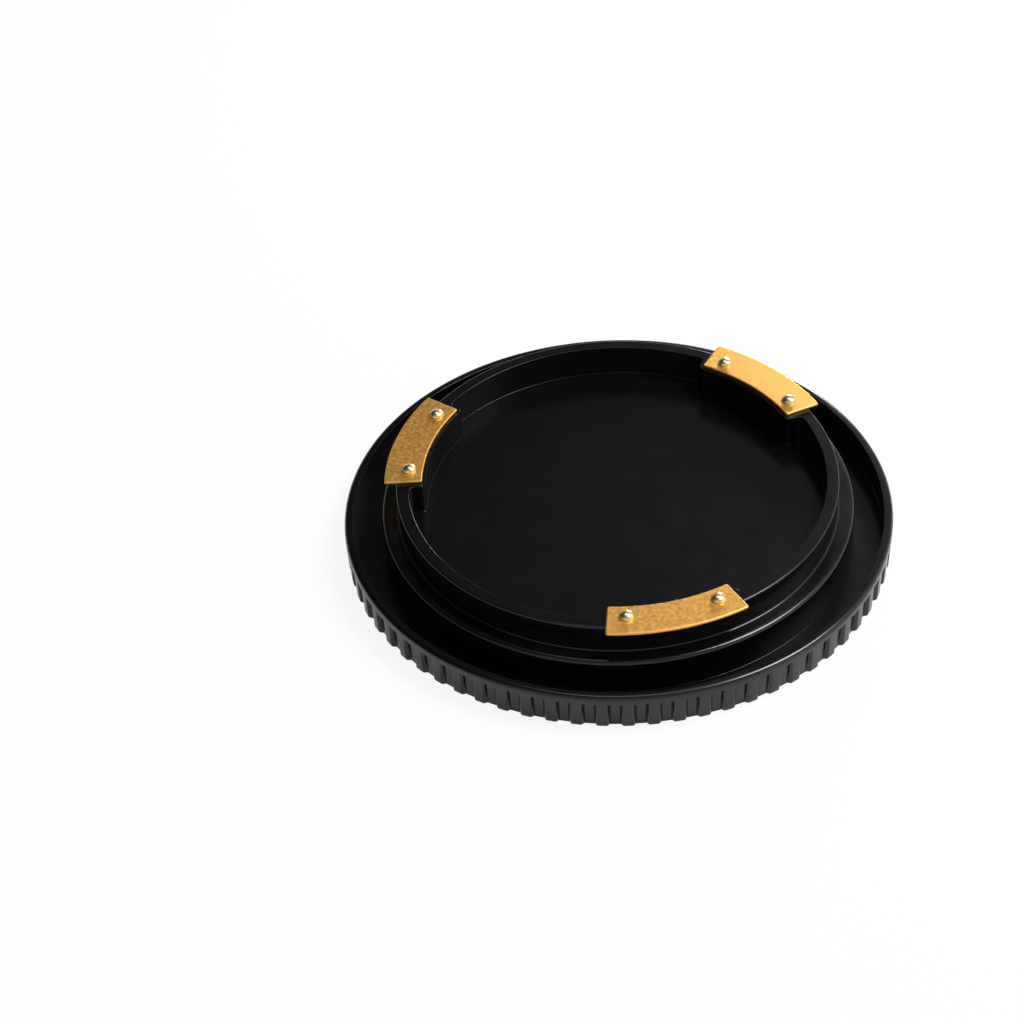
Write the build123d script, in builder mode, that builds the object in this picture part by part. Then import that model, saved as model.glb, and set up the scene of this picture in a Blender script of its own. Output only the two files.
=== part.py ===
"""Body cap for a large bayonet camera mount: a moulded plastic cap with three riveted brass tabs.

Millimetres, +Z up. The cap lies on its outer face, as it does when it is taken off and put down, so
the side that meets the camera looks up. The origin is the centre of the outer face.
"""

import os
from math import degrees

from build123d import *

# Round body, from the ring that enters the camera's mount out to the rim
ring_outer_radius = 42.2
ring_wall = 2.3
shoulder_width = 3.1
trough_width = 5.7
rim_width = 1.7

# Heights of the steps, from the outer face up, and the dish's depth inside the ring
plate_thickness = 2.1
rim_height = 7.5
shoulder_rise = 1.7
ring_rise = 5.8
dish_depth = 6.4

# Broken edges and corners of the moulding
base_edge_chamfer = 0.45
rim_edge_chamfer = 0.3
step_edge_chamfer = 0.3
floor_corner_chamfer = 0.5

# Grip round the skirt: grooves open at the outer face, with a smooth band left under the rim
rib_count = 70
groove_mouth_width = 2.9
groove_floor_width = 1.7
groove_depth = 0.75
smooth_band_height = 1.7

# Brass bayonet tabs, lying on the ring and reaching in and out past it
tab_count = 3
first_tab_angle = 30.0
tab_span_angle = 35.2
tab_overhang = 2.2
tab_inner_reach = 2.7
tab_thickness = 0.6
tab_corner_radius = 0.4
tab_edge_chamfer = 0.12

# Bosses inside the ring that carry the tabs' inner halves, a little larger than the tabs
boss_inner_margin = 0.6
boss_end_margin = 1.0
boss_corner_radius = 1.3

# Rivets, each through its tab into a blind hole of the boss
rivets_per_tab = 2
rivet_edge_distance = 2.7
rivet_end_distance = 3.6
head_diameter = 2.8
head_side_height = 0.6
head_crown_height = 0.4
shank_diameter = 1.6
shank_grip = 4.0
tab_hole_clearance = 0.05
boss_hole_clearance = 0.03
boss_hole_spare_depth = 0.5

# Places worked out from the sizes above
ring_inner_radius = ring_outer_radius - ring_wall
shoulder_radius = ring_outer_radius + shoulder_width
rim_inner_radius = shoulder_radius + trough_width
outer_radius = rim_inner_radius + rim_width
shoulder_height = rim_height + shoulder_rise
ring_height = shoulder_height + ring_rise
tab_outer_radius = ring_outer_radius + tab_overhang
tab_inner_radius = ring_inner_radius - tab_inner_reach
tab_top = ring_height + tab_thickness
boss_inner_radius = tab_inner_radius - boss_inner_margin
boss_span_angle = tab_span_angle + 2 * degrees(boss_end_margin / ring_inner_radius)
rivet_circle_radius = tab_inner_radius + rivet_edge_distance
rivet_spread_angle = tab_span_angle - 2 * degrees(rivet_end_distance / rivet_circle_radius)
rivet_step_angle = rivet_spread_angle / (rivets_per_tab - 1)
tab_angles = [first_tab_angle + index * 360 / tab_count for index in range(tab_count)]


def ring_sector(inner_radius, outer_radius, span_angle):
    """A flat sector of a ring, centred on +X, with radial ends."""
    with BuildSketch() as sector:
        with BuildLine():
            outer_arc = CenterArc((0, 0), outer_radius, -span_angle / 2, span_angle)
            inner_arc = CenterArc((0, 0), inner_radius, -span_angle / 2, span_angle)
            Line(inner_arc @ 0, outer_arc @ 0)
            Line(inner_arc @ 1, outer_arc @ 1)
        make_face()
    return sector.sketch


def rivet_places(tab_angle):
    """Centres of the rivets of the tab at this angle."""
    first_angle = tab_angle - rivet_spread_angle / 2
    return [
        Vector(rivet_circle_radius, 0).rotate(Axis.Z, first_angle + index * rivet_step_angle)
        for index in range(rivets_per_tab)
    ]


all_rivet_places = [place for angle in tab_angles for place in rivet_places(angle)]

# Section of the round body, with the dish inside the ring still filled
with BuildSketch(Plane.XZ) as body_section:
    with BuildLine():
        Polyline(
            (0, 0),
            (outer_radius, 0),
            (outer_radius, rim_height),
            (rim_inner_radius, rim_height),
            (rim_inner_radius, plate_thickness),
            (shoulder_radius, plate_thickness),
            (shoulder_radius, shoulder_height),
            (ring_outer_radius, shoulder_height),
            (ring_outer_radius, ring_height),
            (0, ring_height),
            close=True,
        )
    make_face()
    broken_corners = [
        (outer_radius, 0, base_edge_chamfer),
        (outer_radius, rim_height, rim_edge_chamfer),
        (rim_inner_radius, rim_height, step_edge_chamfer),
        (rim_inner_radius, plate_thickness, floor_corner_chamfer),
        (shoulder_radius, plate_thickness, floor_corner_chamfer),
        (shoulder_radius, shoulder_height, step_edge_chamfer),
        (ring_outer_radius, shoulder_height, step_edge_chamfer),
        (ring_outer_radius, ring_height, step_edge_chamfer),
    ]
    for radius, height, breadth in broken_corners:
        chamfer(body_section.vertices().sort_by_distance((radius, height))[0], breadth)

# One groove of the grip, on +X: its sloping walls run on outwards, clear of the skirt
with BuildSketch() as groove:
    with BuildLine():
        Polyline(
            (outer_radius - groove_depth, groove_floor_width / 2),
            (outer_radius + groove_depth, groove_mouth_width - groove_floor_width / 2),
            (outer_radius + groove_depth, groove_floor_width / 2 - groove_mouth_width),
            (outer_radius - groove_depth, -groove_floor_width / 2),
            close=True,
        )
    make_face()

# Outline of the dish inside the ring, stepped in at each boss
boss_outline = ring_sector(boss_inner_radius, ring_outer_radius, boss_span_angle)
with BuildSketch(Plane.XY.offset(ring_height)) as dish:
    Circle(ring_inner_radius)
    with PolarLocations(0, tab_count, start_angle=first_tab_angle):
        add(boss_outline, mode=Mode.SUBTRACT)
    fillet(dish.vertices(), boss_corner_radius)

# Cap body, moulded in one piece
with BuildPart() as cap_body:
    revolve(body_section.sketch, axis=Axis.Z)

    # Dish inside the ring
    extrude(dish.sketch, amount=-dish_depth, mode=Mode.SUBTRACT)
    chamfer(cap_body.edges(Select.LAST).group_by(Axis.Z)[0], floor_corner_chamfer)
    ring_top = cap_body.faces().sort_by(Axis.Z)[-1]
    chamfer(ring_top.inner_wires()[0].edges(), step_edge_chamfer)

    # Blind holes that grip the rivets
    with BuildSketch(Plane.XY.offset(ring_height)):
        with Locations(*all_rivet_places):
            Circle(shank_diameter / 2 + boss_hole_clearance)
    extrude(amount=-(shank_grip + boss_hole_spare_depth), mode=Mode.SUBTRACT)

    # Grip round the skirt
    with BuildSketch():
        with PolarLocations(0, rib_count, start_angle=180 / rib_count):
            add(groove.sketch)
    extrude(amount=rim_height - smooth_band_height, mode=Mode.SUBTRACT)
cap_body.part.label = "cap_body"

# Bayonet tabs, flat brass plates with the edges of the top side broken
tab_outline = ring_sector(tab_inner_radius, tab_outer_radius, tab_span_angle)
tabs = []
for number, angle in enumerate(tab_angles, start=1):
    with BuildPart() as tab:
        with BuildSketch(Plane.XY.offset(ring_height)):
            add(tab_outline.rotate(Axis.Z, angle))
            fillet(vertices(), tab_corner_radius)
            with Locations(*rivet_places(angle)):
                Circle(shank_diameter / 2 + tab_hole_clearance, mode=Mode.SUBTRACT)
        extrude(amount=tab_thickness)
        top_side = tab.faces().sort_by(Axis.Z)[-1]
        chamfer(top_side.outer_wire().edges(), tab_edge_chamfer)
    tab.part.label = f"bayonet_tab_{number}"
    tabs.append(tab.part)

# One rivet on the cap's axis, its head on the tab's top face
with BuildPart() as rivet:
    with BuildSketch(Plane.XZ):
        with BuildLine():
            crown = TangentArc(
                (0, tab_top + head_side_height + head_crown_height),
                (head_diameter / 2, tab_top + head_side_height),
                tangent=(1, 0),
            )
            Polyline(
                crown @ 1,
                (head_diameter / 2, tab_top),
                (shank_diameter / 2, tab_top),
                (shank_diameter / 2, ring_height - shank_grip),
                (0, ring_height - shank_grip),
                crown @ 0,
            )
        make_face()
    revolve(axis=Axis.Z)

# All rivets in one node, as separate solids
with BuildPart() as rivets:
    with Locations(*all_rivet_places):
        add(rivet.part)
rivets.part.label = "rivets"

os.makedirs("parts", exist_ok=True)
for piece in (cap_body.part, *tabs, rivets.part):
    export_step(piece, f"parts/{piece.label}.step")
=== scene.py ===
"""Looks of a large bayonet body cap: black moulded plastic with riveted brass tabs."""

import math

import bpy
from bpy.props import FloatProperty, FloatVectorProperty, IntProperty, PointerProperty
from bpy.types import Operator, Panel, PropertyGroup
from mathutils import Matrix, Vector


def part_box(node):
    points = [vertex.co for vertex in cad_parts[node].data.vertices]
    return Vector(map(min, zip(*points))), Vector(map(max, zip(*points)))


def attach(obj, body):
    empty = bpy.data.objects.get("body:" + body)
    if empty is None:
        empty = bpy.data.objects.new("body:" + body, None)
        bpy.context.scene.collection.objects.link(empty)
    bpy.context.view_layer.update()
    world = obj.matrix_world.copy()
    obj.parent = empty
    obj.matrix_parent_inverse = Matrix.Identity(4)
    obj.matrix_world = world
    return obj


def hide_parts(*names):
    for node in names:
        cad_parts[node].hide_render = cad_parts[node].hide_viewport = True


bl_info = {
    "name": "Bayonet Body Cap",
    "version": (1, 0, 0),
    "blender": (4, 5, 0),
    "location": "View3D > Sidebar > Body Cap",
    "description": "Dresses the packed body cap: moulding, grip, brass tabs, rivets and studio",
    "category": "Object",
}

MM = 0.001
DEGREE = math.pi / 180

# Most values of a noise texture lie between these
NOISE_LOW, NOISE_HIGH = 0.3, 0.7

RIVETS_PER_TAB = 2

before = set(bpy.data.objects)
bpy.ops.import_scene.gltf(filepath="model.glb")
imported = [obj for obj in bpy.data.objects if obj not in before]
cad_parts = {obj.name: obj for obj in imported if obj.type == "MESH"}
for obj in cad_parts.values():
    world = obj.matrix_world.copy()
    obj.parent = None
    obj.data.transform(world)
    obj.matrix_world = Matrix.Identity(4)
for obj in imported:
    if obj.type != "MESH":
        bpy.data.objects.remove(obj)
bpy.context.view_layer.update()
moulding_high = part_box("cap_body")[1]
tab_low, tab_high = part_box("bayonet_tab_1")
rivet_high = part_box("rivets")[1]


def length(name, description, default):
    """A length in metres."""
    return FloatProperty(name=name, description=description, default=default, unit="LENGTH")


def angle(name, description, default):
    """An angle, written in degrees."""
    return FloatProperty(name=name, description=description, default=default * DEGREE, unit="ROTATION")


def colour(name, description, default):
    """A linear colour."""
    return FloatVectorProperty(
        name=name, description=description, default=default, subtype="COLOR", size=3, min=0, max=1
    )


class MouldingSizes(PropertyGroup):
    """Round body of the cap, from the rim in to the dish."""

    outer_radius: length("Outer radius", "Radius over the ribs", moulding_high[0])
    rim_inner_radius: length("Rim inner radius", "Outer wall of the trough", 51.0 * MM)
    rim_height: length("Rim height", "Top of the rim above the table", 7.5 * MM)
    plate_thickness: length("Plate thickness", "Floor of the trough above the table", 2.1 * MM)
    dish_depth: length("Dish depth", "From the ring's top down to the dish's floor", 6.4 * MM)
    shoulder_radius: length("Shoulder radius", "Inner wall of the trough", 45.3 * MM)
    shoulder_height: length("Shoulder height", "Step that meets the mount", 9.2 * MM)
    ring_outer_radius: length("Ring outer radius", "Outside of the raised ring", 42.2 * MM)
    ring_inner_radius: length("Ring inner radius", "Inside of the raised ring", 39.9 * MM)
    ring_height: length("Ring height", "Top of the ring, under the tabs", moulding_high[2])
    boss_inner_radius: length("Boss inner radius", "Face of the bosses", 36.6 * MM)
    boss_span: angle("Boss span", "Angle that each boss covers", 38.07)
    boss_corner: length("Boss corner", "Upright corners of the bosses", 1.3 * MM)
    ring_edge: length("Ring edge", "Rounding of the ring's outer edge", 0.3 * MM)
    ring_foot: length("Ring foot", "Rounding where the ring meets the shoulder", 0.3 * MM)
    shoulder_edge: length("Shoulder edge", "Rounding of the shoulder's edge", 0.8 * MM)
    rim_edge: length("Rim edge", "Rounding of the rim's outer edge", 0.8 * MM)
    inner_edge: length("Inner edge", "Rounding of the rim's and the dish's inner edges", 0.08 * MM)
    floor_corner: length("Floor corner", "Rounding where walls meet the floors", 0.06 * MM)


class GripSizes(PropertyGroup):
    """Ribs round the skirt, under a smooth band."""

    rib_count: IntProperty(name="Rib count", description="Ribs round the skirt", default=70, min=3)
    groove_mouth: length("Groove mouth", "Width of a groove at the ribs' faces", 2.9 * MM)
    groove_floor: length("Groove floor", "Width of a groove at its floor", 1.7 * MM)
    groove_depth: length("Groove depth", "Depth of the grooves", 0.75 * MM)
    rib_edge: length("Rib edge", "Rounding along the ribs", 0.38 * MM)
    base_edge: length("Base edge", "Rounding of the ribs at the table", 0.6 * MM)
    floor_edge: length("Floor edge", "Rounding of the grooves' floor at the table", 0.25 * MM)
    band_height: length("Band height", "Smooth band over the ribs", 1.7 * MM)
    band_foot: length("Band foot", "Rounding where the grooves meet the band", 0.15 * MM)
    band_edge: length("Band edge", "Rounding of the band's lower edge", 0.12 * MM)
    draft: length("Draft", "How far the skirt draws in at the table", 0.25 * MM)


class TabSizes(PropertyGroup):
    """Brass bayonet tabs."""

    count: IntProperty(name="Tab count", description="Tabs round the ring", default=3, min=1)
    first_angle: angle("First tab", "Angle of the first tab from +X", 30.0)
    span: angle("Tab span", "Angle that each tab covers", 35.2)
    inner_radius: length("Inner radius", "Inner edge of the tabs", 37.2 * MM)
    outer_radius: length("Outer radius", "Outer edge of the tabs", 44.4 * MM)
    corner_radius: length("Corner radius", "Corners in plan", 0.4 * MM)
    edge: length("Edge", "Rounding of the sheet's edges", 0.2 * MM)


class RivetSizes(PropertyGroup):
    """Round-headed rivets, two to a tab."""

    circle_radius: length("Circle radius", "Distance from the cap's axis", 39.9 * MM)
    spread: angle("Spread", "Angle between the two rivets of a tab", 24.86)
    head_radius: length("Head radius", "Radius of a head", 1.4 * MM)
    fullness: FloatProperty(
        name="Fullness",
        description="Below 1 the head has fuller sides than a ball",
        default=0.9,
        min=0.2,
        max=1,
    )


class FinishColours(PropertyGroup):
    """Colours of the finishes."""

    plastic: colour("Plastic", "Black moulded plastic", (0.0018, 0.0017, 0.0021))
    brass: colour("Brass", "Rolled brass sheet", (0.95, 0.51, 0.12))
    rivet: colour("Rivet", "Pale gold rivets", (0.95, 0.74, 0.42))
    table: colour("Table", "White table", (0.86, 0.86, 0.86))


class StudioSizes(PropertyGroup):
    """Camera and lights."""

    camera_azimuth: angle("Camera azimuth", "Where the camera stands, from +X", -101.17)
    camera_elevation: angle("Camera elevation", "Height of the camera over the table", 40.97)
    camera_distance: length("Camera distance", "From the camera to its aim", 527.2 * MM)
    camera_roll: angle("Camera roll", "Turn of the camera about its view", -3.15)
    lens: FloatProperty(name="Lens", description="Focal length", default=96.24, unit="CAMERA")
    aim: FloatVectorProperty(
        name="Aim",
        description="Point that the camera looks at",
        default=(-20.00 * MM, 3.82 * MM, 7.35 * MM),
        unit="LENGTH",
    )


class BodyCap(PropertyGroup):
    """Everything about the cap that a user would change."""

    moulding: PointerProperty(type=MouldingSizes)
    grip: PointerProperty(type=GripSizes)
    tabs: PointerProperty(type=TabSizes)
    rivets: PointerProperty(type=RivetSizes)
    finishes: PointerProperty(type=FinishColours)
    studio: PointerProperty(type=StudioSizes)


# Node helpers


def add_node(tree, kind, inputs=None, **settings):
    """A node with its settings, and inputs that are values or other nodes' sockets."""
    node = tree.nodes.new(kind)
    for name, value in settings.items():
        setattr(node, name, value)
    for name, value in (inputs or {}).items():
        if isinstance(value, bpy.types.NodeSocket):
            tree.links.new(value, node.inputs[name])
        else:
            node.inputs[name].default_value = value
    return node


def calculate(tree, operation, *values):
    """The result of a Math node."""
    return add_node(tree, "ShaderNodeMath", dict(enumerate(values)), operation=operation).outputs[0]


def new_material(name):
    """An empty node material and its output node."""
    material = bpy.data.materials.new(name)
    material.use_nodes = True
    material.node_tree.nodes.clear()
    return material, add_node(material.node_tree, "ShaderNodeOutputMaterial")


def noise(tree, scale, detail=2.0, stretch=None):
    """Noise over the object's own coordinates, from 0 to 1."""
    place = add_node(tree, "ShaderNodeTexCoord").outputs["Object"]
    if stretch:
        stretched = add_node(tree, "ShaderNodeMapping", {"Vector": place, "Scale": stretch})
        place = stretched.outputs["Vector"]
    settings = {"Vector": place, "Scale": scale, "Detail": detail}
    return add_node(tree, "ShaderNodeTexNoise", settings).outputs["Fac"]


def spread(tree, value, low, high):
    """A noise value spread over a range."""
    limits = {"Value": value, "From Min": NOISE_LOW, "From Max": NOISE_HIGH}
    limits |= {"To Min": low, "To Max": high}
    return add_node(tree, "ShaderNodeMapRange", limits).outputs["Result"]


def bump(tree, height, strength, distance, under=None):
    """The normal of a bump, over another one if there is one."""
    settings = {"Height": height, "Strength": strength, "Distance": distance}
    if under:
        settings["Normal"] = under
    return add_node(tree, "ShaderNodeBump", settings).outputs["Normal"]


def finish_with(tree, output, surface):
    """A Principled shader with these inputs, wired to the output."""
    shader = add_node(tree, "ShaderNodeBsdfPrincipled", surface)
    tree.links.new(shader.outputs["BSDF"], output.inputs["Surface"])


# Finishes


def black_plastic(colours):
    """Black moulded plastic: a soft gloss over a very fine grain, with faint sink marks."""
    material, output = new_material("moulded_plastic")
    tree = material.node_tree
    patches = noise(tree, scale=180.0)
    grain = bump(tree, noise(tree, scale=2600.0), strength=0.05, distance=0.01 * MM)
    sinks = bump(tree, noise(tree, scale=60.0), strength=0.15, distance=0.05 * MM, under=grain)
    surface = {
        "Base Color": (*colours.plastic, 1.0),
        "Roughness": spread(tree, patches, low=0.18, high=0.22),
        "IOR": 1.5,
        "Normal": sinks,
    }
    finish_with(tree, output, surface)
    return material


def rolled_brass(colours):
    """Satin brass sheet with a faint mottle and rolling lines."""
    material, output = new_material("rolled_brass")
    tree = material.node_tree
    mottle = noise(tree, scale=1400.0, detail=3.0)
    lines = noise(tree, scale=1.0, detail=3.0, stretch=(260.0, 5200.0, 260.0))
    dull = 0.84
    dull_brass = (*[dull * level for level in colours.brass], 1.0)
    bright_brass = (*colours.brass, 1.0)

    # A Mix node has its colours at inputs 6 and 7, and its result at output 2
    mix = {0: spread(tree, mottle, low=0.0, high=1.0), 6: dull_brass, 7: bright_brass}
    surface = {
        "Base Color": add_node(tree, "ShaderNodeMix", mix, data_type="RGBA").outputs[2],
        "Metallic": 1.0,
        "Roughness": spread(tree, mottle, low=0.38, high=0.5),
        "Normal": bump(tree, lines, strength=0.25, distance=0.01 * MM),
    }
    finish_with(tree, output, surface)
    return material


def plated_metal(colours):
    """Bright plating, a little uneven from the setting tool."""
    material, output = new_material("plated_metal")
    tree = material.node_tree
    surface = {
        "Base Color": (*colours.rivet, 1.0),
        "Metallic": 1.0,
        "Roughness": spread(tree, noise(tree, scale=900.0), low=0.23, high=0.31),
        "Normal": bump(tree, noise(tree, scale=1500.0), strength=0.1, distance=0.02 * MM),
    }
    finish_with(tree, output, surface)
    return material


def white_table(colours):
    """A table almost white to the camera, with a soft shadow, that glows less in reflections."""
    material, output = new_material("white_table")
    tree = material.node_tree
    seen_glow, mirrored_glow = 0.9, 0.5
    path = add_node(tree, "ShaderNodeLightPath").outputs
    seen = calculate(tree, "MAXIMUM", path["Is Camera Ray"], path["Is Transmission Ray"])
    matt = add_node(tree, "ShaderNodeBsdfDiffuse", {"Color": (*colours.table, 1.0)})
    white = add_node(tree, "ShaderNodeEmission", {"Strength": 1.0})
    mirrored = calculate(tree, "MULTIPLY", path["Is Glossy Ray"], mirrored_glow)
    share = calculate(tree, "MULTIPLY_ADD", seen, seen_glow, mirrored)
    mix = {0: share, 1: matt.outputs["BSDF"], 2: white.outputs["Emission"]}
    mixed = add_node(tree, "ShaderNodeMixShader", mix)
    tree.links.new(mixed.outputs["Shader"], output.inputs["Surface"])
    return material


# Outlines and skins


def rounded_path(corners, steps=5, lead=0.3):
    """A flat path through (x, y, rounding) corners, each rounded by an arc.

    A point just before and just after each arc keeps the straight runs flat under smooth shading.
    """
    path = [Vector(corners[0][:2])]
    for before, corner, after in zip(corners, corners[1:], corners[2:]):
        point, rounding = Vector(corner[:2]), corner[2]
        back = (Vector(before[:2]) - point).normalized()
        ahead = (Vector(after[:2]) - point).normalized()
        half_angle = back.angle(ahead) / 2
        reach = rounding / math.tan(half_angle)
        centre = point + (back + ahead).normalized() * rounding / math.sin(half_angle)
        first = point + back * reach - centre
        turn = -first.angle_signed(point + ahead * reach - centre)
        path.append(point + back * (reach + rounding * lead))
        path += [centre + Matrix.Rotation(turn * step / steps, 2) @ first for step in range(steps + 1)]
        path.append(point + ahead * (reach + rounding * lead))
    path.append(Vector(corners[-1][:2]))
    return path


def around(turn, radius):
    """The flat point at this angle and radius."""
    return Vector((radius * math.cos(turn), radius * math.sin(turn)))


def wrapped(path, reference_radius, step):
    """A path of (distance along, radius) laid round the axis, as (angle, radius) pairs."""
    pairs = []
    for here, there in zip(path, path[1:]):
        pieces = max(1, round((there - here).length / step))
        for index in range(pieces):
            distance, radius = here.lerp(there, index / pieces)
            pairs.append((distance / reference_radius, radius))
    return pairs


def offset_loop(loop, distance):
    """An anticlockwise loop moved outwards."""
    moved = []
    for before, point, after in zip(loop[-1:] + loop[:-1], loop, loop[1:] + loop[:1]):
        ahead = (after - before).normalized()
        moved.append(point + Vector((ahead.y, -ahead.x)) * distance)
    return moved


def raised(loop, height):
    """A flat loop at this height."""
    return [(point.x, point.y, height) for point in loop]


def skin(name, rings):
    """A closed mesh over rings of equal length, anticlockwise, that starts with its underside."""
    count = len(rings[0])
    faces = [tuple(reversed(range(count)))]
    for ring in range(len(rings) - 1):
        low, high = ring * count, (ring + 1) * count
        for index in range(count):
            after = (index + 1) % count
            faces.append((low + index, low + after, high + after, high + index))
    faces.append(tuple(range((len(rings) - 1) * count, len(rings) * count)))
    mesh = bpy.data.meshes.new(name)
    mesh.from_pydata([point for ring in rings for point in ring], [], faces)
    mesh.polygons.foreach_set("use_smooth", [True] * len(faces))
    return mesh


# Geometry node trees


def index_of(tree):
    """The number of each copy."""
    return add_node(tree, "GeometryNodeInputIndex").outputs[0]


def position_of(tree):
    """The X, Y and Z of each point."""
    position = add_node(tree, "GeometryNodeInputPosition").outputs[0]
    return add_node(tree, "ShaderNodeSeparateXYZ", {0: position}).outputs


def new_tree(name):
    """An empty tree for a piece that repeats."""
    tree = bpy.data.node_groups.new(name, "GeometryNodeTree")
    tree.interface.new_socket(name="Geometry", in_out="OUTPUT", socket_type="NodeSocketGeometry")
    return tree


def add_inputs(tree, values):
    """Named inputs for a tree's sizes, and the node that gives them."""
    for name, value in values.items():
        kind = "NodeSocketInt" if isinstance(value, int) else "NodeSocketFloat"
        tree.interface.new_socket(name=name, in_out="INPUT", socket_type=kind)
    return add_node(tree, "NodeGroupInput").outputs


def polar_array(tree, geometry, count, turn):
    """Copies of the geometry, turned about the axis by these angles."""
    points = add_node(tree, "GeometryNodePoints", {"Count": count}).outputs[0]
    rotation = add_node(tree, "ShaderNodeCombineXYZ", {"Z": turn}).outputs[0]
    copies = {"Points": points, "Instance": geometry, "Rotation": rotation}
    return add_node(tree, "GeometryNodeInstanceOnPoints", copies).outputs[0]


def end_tree(tree, geometry, material):
    """Makes the copies real, gives them their finish and ends the tree."""
    real = add_node(tree, "GeometryNodeRealizeInstances", {"Geometry": geometry}).outputs[0]
    smooth = add_node(tree, "GeometryNodeSetShadeSmooth", {"Geometry": real}).outputs[0]
    painted = add_node(tree, "GeometryNodeSetMaterial", {"Geometry": smooth, "Material": material})
    add_node(tree, "NodeGroupOutput", {"Geometry": painted.outputs[0]})


def grown_piece(name, tree, values):
    """The plain mesh that a tree gives with these values, as an object."""
    piece = new_piece(name, bpy.data.meshes.new(name))
    modifier = piece.modifiers.new(name, "NODES")
    modifier.node_group = tree
    for item in tree.interface.items_tree:
        if item.in_out == "INPUT":
            modifier[item.identifier] = values[item.name]
    evaluated = piece.evaluated_get(bpy.context.evaluated_depsgraph_get())
    mesh = bpy.data.meshes.new_from_object(evaluated)
    piece.modifiers.clear()
    piece.data = mesh
    return piece


# Pieces


def new_piece(name, mesh, material=None):
    """An object at the origin that carries this mesh."""
    piece = bpy.data.objects.new(name, mesh)
    bpy.context.scene.collection.objects.link(piece)
    if material:
        mesh.materials.append(material)
    return piece


def seat(piece, node):
    """The piece rides on the cap and stands for this CAD node."""
    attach(piece, "root")
    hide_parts(node)


def dish_edge(sizes, tabs):
    """The edge of the dish inside the ring, stepped in at each boss, as (angle, radius) pairs."""
    outer, inner, rounding = sizes.ring_inner_radius, sizes.boss_inner_radius, sizes.boss_corner
    pitch = 2 * math.pi / tabs.count
    corners = [(tabs.first_angle * outer, inner)]
    for index in range(tabs.count):
        boss_end = (tabs.first_angle + index * pitch + sizes.boss_span / 2) * outer
        next_boss = (tabs.first_angle + (index + 1) * pitch - sizes.boss_span / 2) * outer
        corners += [(boss_end, inner, rounding), (boss_end, outer, rounding)]
        corners += [(next_boss, outer, rounding), (next_boss, inner, rounding)]
    corners.append(((tabs.first_angle + tabs.count * pitch) * outer, inner))
    return wrapped(rounded_path(corners, steps=8, lead=0.2), outer, step=0.5 * MM)


def body_rings(sizes, grip, tabs):
    """Rings over the moulding, from its underside round the rim and the ring down into the dish."""
    groove_floor = sizes.outer_radius - grip.groove_depth
    band_bottom = sizes.rim_height - grip.band_height
    underside_start = groove_floor - 3 * MM
    section = rounded_path(
        [
            (underside_start, 0),
            (groove_floor - grip.draft, 0, grip.floor_edge),
            (groove_floor, band_bottom, grip.band_foot),
            (sizes.outer_radius, band_bottom, grip.band_edge),
            (sizes.outer_radius, sizes.rim_height, sizes.rim_edge),
            (sizes.rim_inner_radius, sizes.rim_height, sizes.inner_edge),
            (sizes.rim_inner_radius, sizes.plate_thickness, sizes.floor_corner),
            (sizes.shoulder_radius, sizes.plate_thickness, sizes.floor_corner),
            (sizes.shoulder_radius, sizes.shoulder_height, sizes.shoulder_edge),
            (sizes.ring_outer_radius, sizes.shoulder_height, sizes.ring_foot),
            (sizes.ring_outer_radius, sizes.ring_height, sizes.ring_edge),
            (sizes.ring_outer_radius - sizes.ring_edge * 2, sizes.ring_height),
        ]
    )

    # The round parts use the angles of the dish's edge, partly evened out
    edge = dish_edge(sizes, tabs)
    start, step = edge[0][0], 2 * math.pi / len(edge)
    evenness = 0.3
    turns = [
        (1 - evenness) * turn + evenness * (start + index * step)
        for index, (turn, _) in enumerate(edge)
    ]
    rings = [raised([around(turn, radius) for turn in turns], height) for radius, height in section]
    dish = [around(turn, radius) for turn, radius in edge]
    dish_floor = sizes.ring_height - sizes.dish_depth
    wall = rounded_path(
        [
            (sizes.inner_edge * 2, sizes.ring_height),
            (0, sizes.ring_height, sizes.inner_edge),
            (0, dish_floor, sizes.floor_corner),
            (-sizes.boss_corner / 2, dish_floor),
        ]
    )
    return rings + [raised(offset_loop(dish, offset), height) for offset, height in wall]


def tab_rings(sizes, middle_angle, low, high):
    """Rings over one tab, a flat sector of a ring with rounded edges."""
    middle_radius = (sizes.inner_radius + sizes.outer_radius) / 2
    middle, half = middle_angle * middle_radius, sizes.span / 2 * middle_radius
    path = rounded_path(
        [
            (middle, sizes.outer_radius),
            (middle + half, sizes.outer_radius, sizes.corner_radius),
            (middle + half, sizes.inner_radius, sizes.corner_radius),
            (middle - half, sizes.inner_radius, sizes.corner_radius),
            (middle - half, sizes.outer_radius, sizes.corner_radius),
            (middle, sizes.outer_radius),
        ]
    )
    loop = [around(turn, radius) for turn, radius in wrapped(path, middle_radius, step=0.4 * MM)]

    # The flat sides start past the rounding, but short of the corners' centres, where they would fold
    inset = -1.5 * sizes.edge
    section = rounded_path(
        [(inset, low), (0, low, sizes.edge), (0, high, sizes.edge), (inset, high)], steps=4
    )
    return [raised(offset_loop(loop, offset), height) for offset, height in section]


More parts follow.
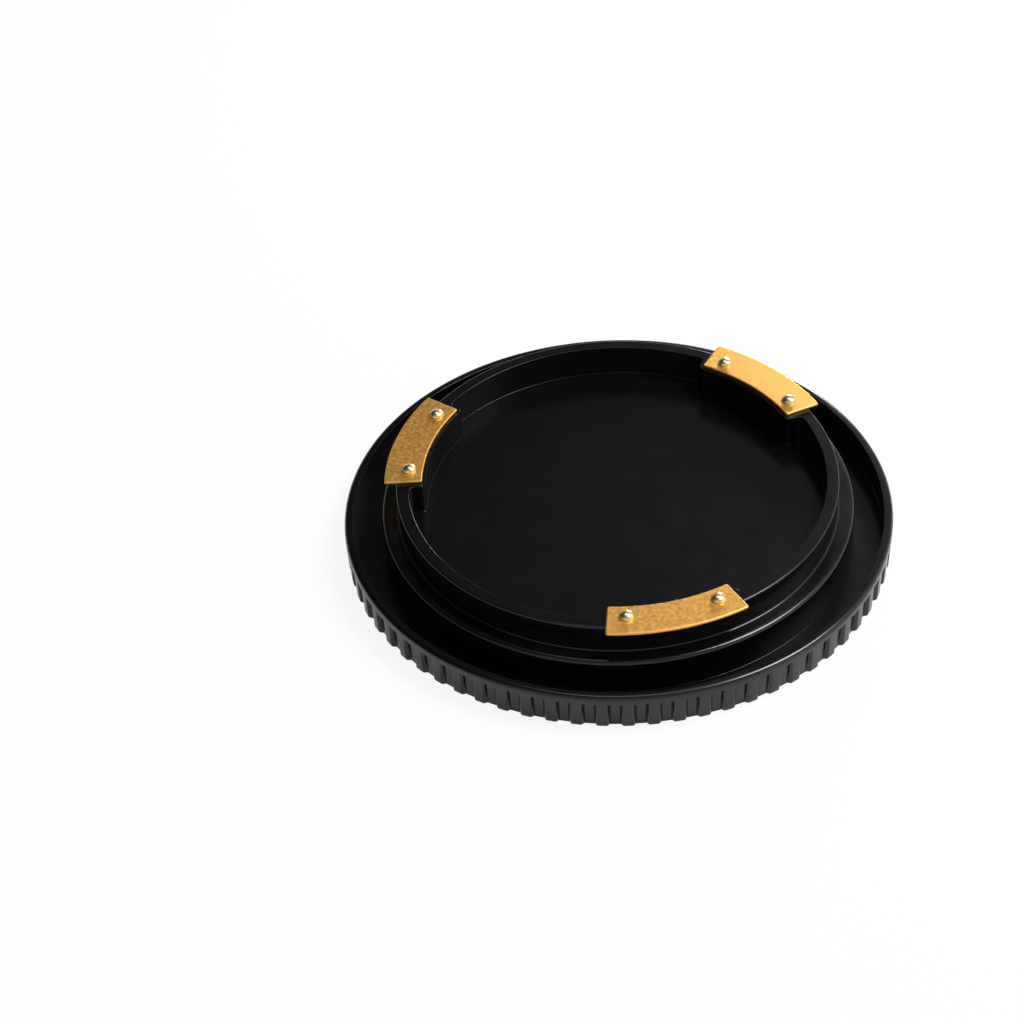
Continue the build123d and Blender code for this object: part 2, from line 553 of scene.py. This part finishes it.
def grip_tree(material, values):
    """Ribs: a rounded trapezoid swept upwards, drawn in at the table and copied about the axis."""
    tree = new_tree("Grip ribs")
    size = add_inputs(tree, values)
    edge_points, rows, crowding = 5, 15, 2.2
    widths = {"Bottom Width": size["Root width"], "Top Width": size["Face width"]}
    widths |= {"Height": size["Depth"], "Offset": 0.0}
    profile = add_node(
        tree, "GeometryNodeCurvePrimitiveQuadrilateral", widths, mode="TRAPEZOID"
    ).outputs[0]
    outer_side = calculate(tree, "GREATER_THAN", position_of(tree)["Y"], 0.0)
    radius = calculate(tree, "MULTIPLY", size["Edge radius"], outer_side)
    rounding = {"Curve": profile, "Radius": radius, "Count": edge_points, "Limit Radius": True}
    profile = add_node(tree, "GeometryNodeFilletCurve", rounding, mode="POLY").outputs[0]
    middle = calculate(tree, "MULTIPLY_ADD", size["Depth"], -0.5, size["Face radius"])
    move = {
        "Geometry": profile,
        "Translation": add_node(tree, "ShaderNodeCombineXYZ", {"X": middle}).outputs[0],
        "Rotation": (0.0, 0.0, -math.pi / 2),
    }
    profile = add_node(tree, "GeometryNodeTransform", move).outputs[0]
    top = add_node(tree, "ShaderNodeCombineXYZ", {"Z": size["Height"]}).outputs[0]
    upright = add_node(tree, "GeometryNodeCurvePrimitiveLine", {"End": top}).outputs[0]
    upright = add_node(tree, "GeometryNodeResampleCurve", {"Curve": upright, "Count": rows}).outputs[0]
    sweep = {"Curve": upright, "Profile Curve": profile, "Fill Caps": True}
    rib = add_node(tree, "GeometryNodeCurveToMesh", sweep).outputs[0]

    # Rows close together at the table, and the face drawn in and rounded towards it
    place = position_of(tree)
    share = calculate(tree, "DIVIDE", place["Z"], size["Height"])
    share = calculate(tree, "POWER", share, crowding)
    height = calculate(tree, "MULTIPLY", share, size["Height"])
    below = calculate(tree, "MAXIMUM", calculate(tree, "SUBTRACT", size["Base radius"], height), 0.0)
    below = calculate(tree, "DIVIDE", below, size["Base radius"])
    level = calculate(tree, "SUBTRACT", 1.0, calculate(tree, "POWER", below, 2.0))
    rounded = calculate(tree, "SUBTRACT", 1.0, calculate(tree, "SQRT", level))
    inwards = calculate(tree, "MULTIPLY", size["Base radius"], rounded)
    remaining = calculate(tree, "SUBTRACT", 1.0, share)
    inwards = calculate(tree, "MULTIPLY_ADD", remaining, size["Draft"], inwards)
    fit = calculate(tree, "SUBTRACT", 1.0, calculate(tree, "DIVIDE", inwards, size["Face radius"]))
    fitted = {
        "X": calculate(tree, "MULTIPLY", place["X"], fit),
        "Y": calculate(tree, "MULTIPLY", place["Y"], fit),
        "Z": height,
    }
    fitted = add_node(tree, "ShaderNodeCombineXYZ", fitted).outputs[0]
    rib = add_node(tree, "GeometryNodeSetPosition", {"Geometry": rib, "Position": fitted}).outputs[0]

    turn = calculate(tree, "MULTIPLY", index_of(tree), 2 * math.pi)
    turn = calculate(tree, "DIVIDE", turn, size["Count"])
    end_tree(tree, polar_array(tree, rib, size["Count"], turn), material)
    return tree


def rivet_tree(material, values):
    """Rivet heads: a dome with full sides and a flat underside, copied to each place on the tabs."""
    tree = new_tree("Rivet heads")
    size = add_inputs(tree, values)
    unit_ball = {"Segments": 32, "Rings": 24, "Radius": 1.0}
    ball = add_node(tree, "GeometryNodeMeshUVSphere", unit_ball).outputs[0]
    place = position_of(tree)
    rise = calculate(tree, "POWER", calculate(tree, "MAXIMUM", place["Z"], 0.0), size["Fullness"])
    shaped = {
        "X": calculate(tree, "MULTIPLY_ADD", place["X"], size["Head radius"], size["Circle radius"]),
        "Y": calculate(tree, "MULTIPLY", place["Y"], size["Head radius"]),
        "Z": calculate(tree, "MULTIPLY_ADD", rise, size["Head height"], size["Foot"]),
    }
    shaped = add_node(tree, "ShaderNodeCombineXYZ", shaped).outputs[0]
    head = add_node(tree, "GeometryNodeSetPosition", {"Geometry": ball, "Position": shaped}).outputs[0]

    # Each tab's two rivets lie half the spread to either side of its middle
    index = index_of(tree)
    tab = calculate(tree, "FLOOR", calculate(tree, "DIVIDE", index, RIVETS_PER_TAB))
    side = calculate(tree, "MODULO", index, RIVETS_PER_TAB)
    side = calculate(tree, "SUBTRACT", side, 0.5)
    turn = calculate(tree, "MULTIPLY_ADD", tab, size["Tab pitch"], size["First tab"])
    turn = calculate(tree, "MULTIPLY_ADD", side, size["Spread"], turn)
    end_tree(tree, polar_array(tree, head, size["Count"], turn), material)
    return tree


# Studio


def direction(azimuth, elevation):
    """The unit vector at this azimuth from +X and height over the table."""
    level = math.cos(elevation)
    return Vector((level * math.cos(azimuth), level * math.sin(azimuth), math.sin(elevation)))


def aimed(thing, towards):
    """Turns a lamp or camera to look at a point."""
    thing.rotation_mode = "QUATERNION"
    thing.rotation_quaternion = (towards - thing.location).to_track_quat("-Z", "Y")


def blend_between(tree, value, start, end, low, high):
    """A smooth change from low to high while the value goes from start to end."""
    limits = {"Value": value, "From Min": start, "From Max": end, "To Min": low, "To Max": high}
    blend = add_node(tree, "ShaderNodeMapRange", limits, interpolation_type="SMOOTHSTEP")
    return blend.outputs["Result"]


def alignment(tree, way, heading):
    """How far each way of looking points along a heading, from -1 to 1."""
    sides = {0: way, 1: heading}
    return add_node(tree, "ShaderNodeVectorMath", sides, operation="DOT_PRODUCT").outputs["Value"]


def room_light(scene):
    """A dim room, lighter on the right and in front, with a white horizon that fades on the left."""
    world = bpy.data.worlds.new("studio_room")
    world.use_nodes = True
    tree = world.node_tree
    tree.nodes.clear()
    way = add_node(tree, "ShaderNodeTexCoord").outputs["Generated"]
    side = alignment(tree, way, direction(azimuth=-15 * DEGREE, elevation=0))
    front = alignment(tree, way, direction(azimuth=-90 * DEGREE, elevation=0))
    walls = blend_between(tree, side, start=-0.15, end=0.25, low=0.04, high=0.28)
    right_wall = blend_between(tree, side, start=0.4, end=0.9, low=0.0, high=1.0)
    front_wall = blend_between(tree, front, start=0.0, end=0.6, low=0.0, high=0.45)
    walls = calculate(tree, "MAXIMUM", walls, right_wall)
    walls = calculate(tree, "MAXIMUM", walls, front_wall)
    height = add_node(tree, "ShaderNodeSeparateXYZ", {0: way}).outputs["Z"]
    horizon = blend_between(tree, height, start=0.12, end=0.42, low=1.0, high=0.0)
    left_fade = blend_between(tree, side, start=-0.9, end=-0.3, low=0.1, high=1.0)
    horizon = calculate(tree, "MULTIPLY", horizon, left_fade)
    strength = calculate(tree, "MAXIMUM", walls, horizon)
    background = add_node(tree, "ShaderNodeBackground", {"Color": (1, 1, 1, 1), "Strength": strength})
    add_node(tree, "ShaderNodeOutputWorld", {"Surface": background.outputs[0]})
    scene.world = world


def softbox(name, azimuth, elevation, distance, size, power):
    """A square lamp that looks at the cap, placed by two angles in degrees."""
    lamp = bpy.data.objects.new(name, bpy.data.lights.new(name, "AREA"))
    lamp.data.size = size
    lamp.data.energy = power
    lamp.location = direction(azimuth * DEGREE, elevation * DEGREE) * distance
    lamp.visible_camera = False
    aimed(lamp, Vector((0, 0, 0)))
    bpy.context.scene.collection.objects.link(lamp)


def set_camera(scene, studio):
    """The camera, rolled a little about its view as in the photograph."""
    camera = bpy.data.objects.new("camera", bpy.data.cameras.new("camera"))
    camera.data.lens = studio.lens
    camera.data.clip_start = 0.01
    aim = Vector(studio.aim)
    back = direction(studio.camera_azimuth, studio.camera_elevation)
    camera.location = aim + back * studio.camera_distance
    aimed(camera, aim)
    roll = Matrix.Rotation(studio.camera_roll, 3, "Z").to_quaternion()
    camera.rotation_quaternion = camera.rotation_quaternion @ roll
    scene.collection.objects.link(camera)
    scene.camera = camera


def plastic_for(cap):
    """The moulding's plastic, made once and shared by the ribs."""
    return bpy.data.materials.get("moulded_plastic") or black_plastic(cap.finishes)


# Operators


class BODYCAP_OT_moulding(Operator):
    """Makes the moulding: underside, rim, trough, shoulder, ring, bosses and dish"""

    bl_idname = "bodycap.moulding"
    bl_label = "Moulding"

    def execute(self, context):
        cap = context.scene.body_cap
        mesh = skin("cap_moulding", body_rings(cap.moulding, cap.grip, cap.tabs))
        piece = new_piece("cap_moulding", mesh, plastic_for(cap))
        seat(piece, "cap_body")
        return {"FINISHED"}


class BODYCAP_OT_grip(Operator):
    """Makes the ribs round the skirt"""

    bl_idname = "bodycap.grip"
    bl_label = "Grip ribs"

    def execute(self, context):
        cap = context.scene.body_cap
        grip, radius = cap.grip, cap.moulding.outer_radius
        sunk_into_skirt, sunk_into_band = 0.7 * MM, 0.4 * MM
        inside_box = 0.004 * MM
        depth = grip.groove_depth + sunk_into_skirt
        face = 2 * math.pi * radius / grip.rib_count - grip.groove_mouth
        slope = (grip.groove_mouth - grip.groove_floor) / grip.groove_depth
        values = {
            "Count": grip.rib_count,
            "Depth": depth,
            "Face width": face,
            "Root width": face + depth * slope,
            "Face radius": radius - inside_box,
            "Edge radius": grip.rib_edge,
            "Base radius": grip.base_edge,
            "Draft": grip.draft,
            "Height": cap.moulding.rim_height - grip.band_height + sunk_into_band,
        }
        piece = grown_piece("grip_ribs", grip_tree(plastic_for(cap), values), values)
        seat(piece, "cap_body")
        return {"FINISHED"}


class BODYCAP_OT_tabs(Operator):
    """Makes the brass tabs"""

    bl_idname = "bodycap.tabs"
    bl_label = "Brass tabs"

    def execute(self, context):
        cap = context.scene.body_cap
        brass = rolled_brass(cap.finishes)
        for number in range(cap.tabs.count):
            middle = cap.tabs.first_angle + number * 2 * math.pi / cap.tabs.count
            name = f"brass_tab_{number + 1}"
            mesh = skin(name, tab_rings(cap.tabs, middle, tab_low[2], tab_high[2]))
            seat(new_piece(name, mesh, brass), f"bayonet_tab_{number + 1}")
        return {"FINISHED"}


class BODYCAP_OT_rivets(Operator):
    """Makes the rivet heads, two on each tab"""

    bl_idname = "bodycap.rivets"
    bl_label = "Rivets"

    def execute(self, context):
        cap = context.scene.body_cap
        values = {
            "Count": RIVETS_PER_TAB * cap.tabs.count,
            "Circle radius": cap.rivets.circle_radius,
            "Tab pitch": 2 * math.pi / cap.tabs.count,
            "First tab": cap.tabs.first_angle,
            "Spread": cap.rivets.spread,
            "Head radius": cap.rivets.head_radius,
            "Head height": rivet_high[2] - tab_high[2],
            "Fullness": cap.rivets.fullness,
            "Foot": tab_high[2],
        }
        piece = grown_piece("rivet_heads", rivet_tree(plated_metal(cap.finishes), values), values)
        seat(piece, "rivets")
        return {"FINISHED"}


class BODYCAP_OT_studio(Operator):
    """Sets the table, the lights and the camera"""

    bl_idname = "bodycap.studio"
    bl_label = "Studio"

    def execute(self, context):
        cap = context.scene.body_cap
        table = new_piece("table", bpy.data.meshes.new("table"), white_table(cap.finishes))
        reach = 3.0
        corners = [(-reach, -reach, 0), (reach, -reach, 0), (reach, reach, 0), (-reach, reach, 0)]
        table.data.from_pydata(corners, [], [(0, 1, 2, 3)])
        room_light(context.scene)
        softbox("main_softbox", azimuth=75, elevation=74, distance=0.8, size=0.25, power=0.45)
        softbox("back_softbox", azimuth=60, elevation=15, distance=0.3, size=0.06, power=0.36)
        softbox("right_softbox", azimuth=-10, elevation=60, distance=0.8, size=0.3, power=5.5)
        set_camera(context.scene, cap.studio)
        context.scene.view_settings.view_transform = "Standard"
        return {"FINISHED"}


class BODYCAP_PT_panel(Panel):
    """Lists the steps that make the cap"""

    bl_label = "Body Cap"
    bl_idname = "BODYCAP_PT_panel"
    bl_space_type = "VIEW_3D"
    bl_region_type = "UI"
    bl_category = "Body Cap"

    def draw(self, context):
        for step in steps:
            self.layout.operator(step.bl_idname)
        cap = context.scene.body_cap
        for group in (cap.moulding, cap.grip, cap.tabs, cap.rivets, cap.finishes, cap.studio):
            box = self.layout.box()
            for name in group.bl_rna.properties.keys():
                if name not in {"rna_type", "name"}:
                    box.prop(group, name)


steps = (
    BODYCAP_OT_studio,
    BODYCAP_OT_moulding,
    BODYCAP_OT_grip,
    BODYCAP_OT_tabs,
    BODYCAP_OT_rivets,
)
classes = (
    MouldingSizes,
    GripSizes,
    TabSizes,
    RivetSizes,
    FinishColours,
    StudioSizes,
    BodyCap,
    *steps,
    BODYCAP_PT_panel,
)


def register():
    """Adds the settings, the operators and the panel."""
    for one in classes:
        bpy.utils.register_class(one)
    bpy.types.Scene.body_cap = PointerProperty(type=BodyCap)


def unregister():
    """Takes them away again."""
    del bpy.types.Scene.body_cap
    for one in reversed(classes):
        bpy.utils.unregister_class(one)


def main():
    """Makes every piece."""
    register()
    for step in steps:
        area, name = step.bl_idname.split(".")
        getattr(getattr(bpy.ops, area), name)()


if __name__ == "__main__":
    main()
